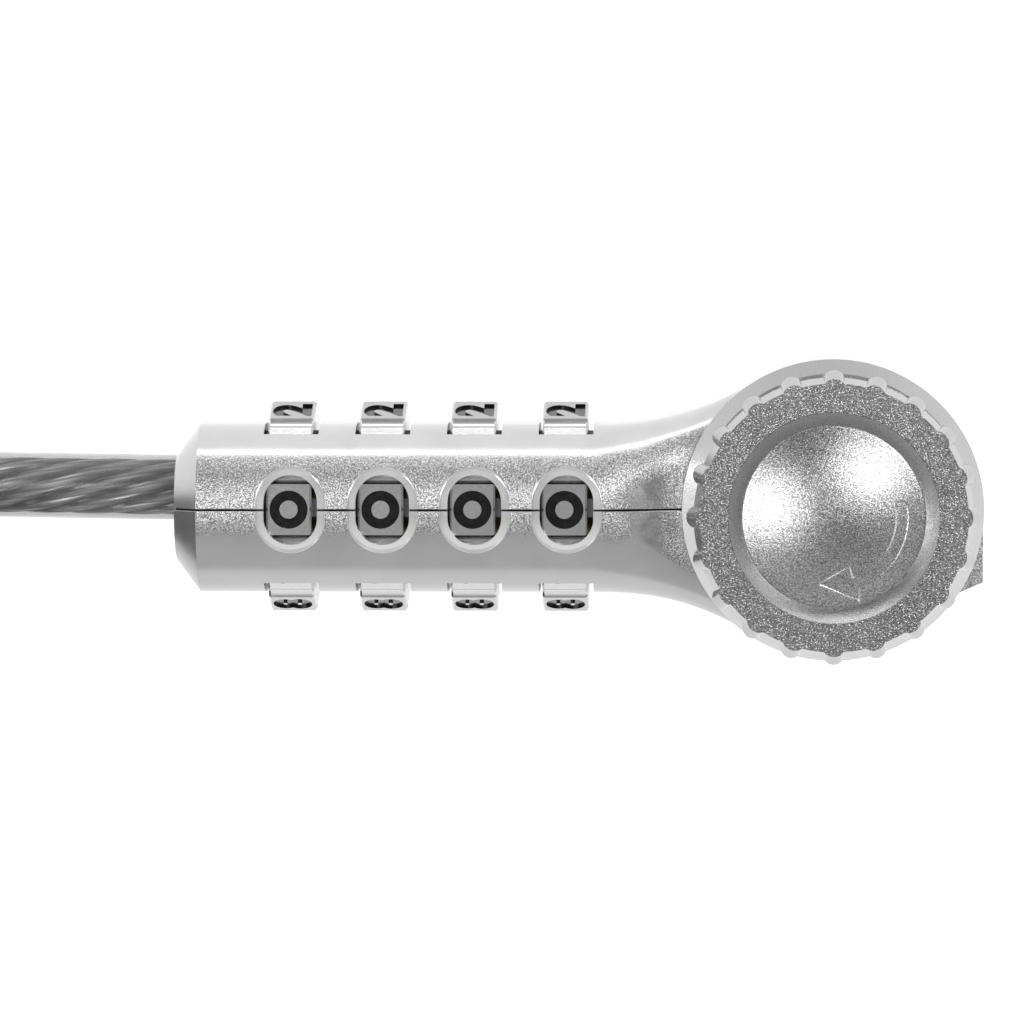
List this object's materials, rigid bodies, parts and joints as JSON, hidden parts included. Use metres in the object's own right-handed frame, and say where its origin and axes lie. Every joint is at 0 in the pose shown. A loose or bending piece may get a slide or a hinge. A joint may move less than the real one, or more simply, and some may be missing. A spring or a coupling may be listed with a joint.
{
  "type": "laptop cable lock",
  "caption": "Keyless laptop cable lock: metal barrel with number dials, round head with a ribbed knob over a T-bar, and a coiled steel cable with a crimped loop.",
  "frame": {"origin": "on the knob's axis at the tip of the T-bar", "axes": "+Z along the knob's axis from the T-bar to the knob; the barrel and the cable run towards -X; +Y is the side on which the dials' numbers rise"},
  "size_m": [0.2155, 0.0803, 0.0345],
  "materials": {
    "shell_plating": "satin nickel-chrome plating over a die casting, slightly grainy on the flat faces",
    "knob_plating": "satin chrome plating, sparkling grain on the top ring and the dome",
    "dial_plating": "polished plating with black-filled engraved digits",
    "steel": "turned steel",
    "spring_steel": "spring steel",
    "brass": "turned brass",
    "cable_jacket": "clear vinyl jacket over twisted steel strands",
    "tie_fabric": "woven hook-and-loop tape",
    "sleeve_metal": "pressed aluminium sleeve"
  },
  "bodies": {
    "housing": {"upper_shell": "shell_plating", "lower_shell": "shell_plating", "head_collar": "shell_plating", "knob_washer": "spring_steel", "shell_dowels": "steel", "collar_rivets": "steel", "nose_block": "shell_plating", "anchor_pins": "steel", "dial_tube": "steel", "detent_spring": "spring_steel", "spring_stop": "steel", "bolt_spring": "spring_steel", "cable_ferrule": "steel", "cable": "cable_jacket", "cable_coil": "cable_jacket", "coil_ties": "tie_fabric", "loop_sleeve": "sleeve_metal", "loop_eye": "cable_jacket"},
    "dial_wheel_1": {"dial_1": "dial_plating", "gate_ring_1": "brass"},
    "dial_wheel_2": {"dial_2": "dial_plating", "gate_ring_2": "brass"},
    "dial_wheel_3": {"dial_3": "dial_plating", "gate_ring_3": "brass"},
    "dial_wheel_4": {"dial_4": "dial_plating", "gate_ring_4": "brass"},
    "bolt": {"locking_bolt": "steel"},
    "turning_knob": {"knob": "knob_plating", "knob_cap": "knob_plating", "knob_screw": "steel", "spindle": "steel", "spindle_clip": "spring_steel", "lock_cam": "steel"},
    "reset": {"reset_screw": "steel"}
  },
  "joints": [
    {"name": "dial_1_turn", "type": "hinge", "parent": "housing", "child": "dial_wheel_1", "pos_m": [-0.0455, 0.0005, 0.0142], "axis": [1, 0, 0], "continuous": true},
    {"name": "dial_2_turn", "type": "hinge", "parent": "housing", "child": "dial_wheel_2", "pos_m": [-0.03781, 0.0005, 0.0142], "axis": [1, 0, 0], "continuous": true},
    {"name": "dial_3_turn", "type": "hinge", "parent": "housing", "child": "dial_wheel_3", "pos_m": [-0.03012, 0.0005, 0.0142], "axis": [1, 0, 0], "continuous": true},
    {"name": "dial_4_turn", "type": "hinge", "parent": "housing", "child": "dial_wheel_4", "pos_m": [-0.02243, 0.0005, 0.0142], "axis": [1, 0, 0], "continuous": true},
    {"name": "knob_turn", "type": "hinge", "parent": "housing", "child": "turning_knob", "pos_m": [0, 0, 0], "axis": [0, 0, -1], "range_deg": [0, 90]},
    {"name": "bolt_slide", "type": "slide", "parent": "housing", "child": "bolt", "axis": [-1, 0, 0], "range_m": [0, 0.002], "deforming": ["bolt_spring"]},
    {"name": "reset_turn", "type": "hinge", "parent": "housing", "child": "reset", "pos_m": [-0.0514, 0.0005, 0.0142], "axis": [0, 1, 0], "range_deg": [0, 90]}
  ],
  "couplings": [
    {"joint": "bolt_slide", "follows": "knob_turn", "m_per_rad": 0.0012732}
  ]
}
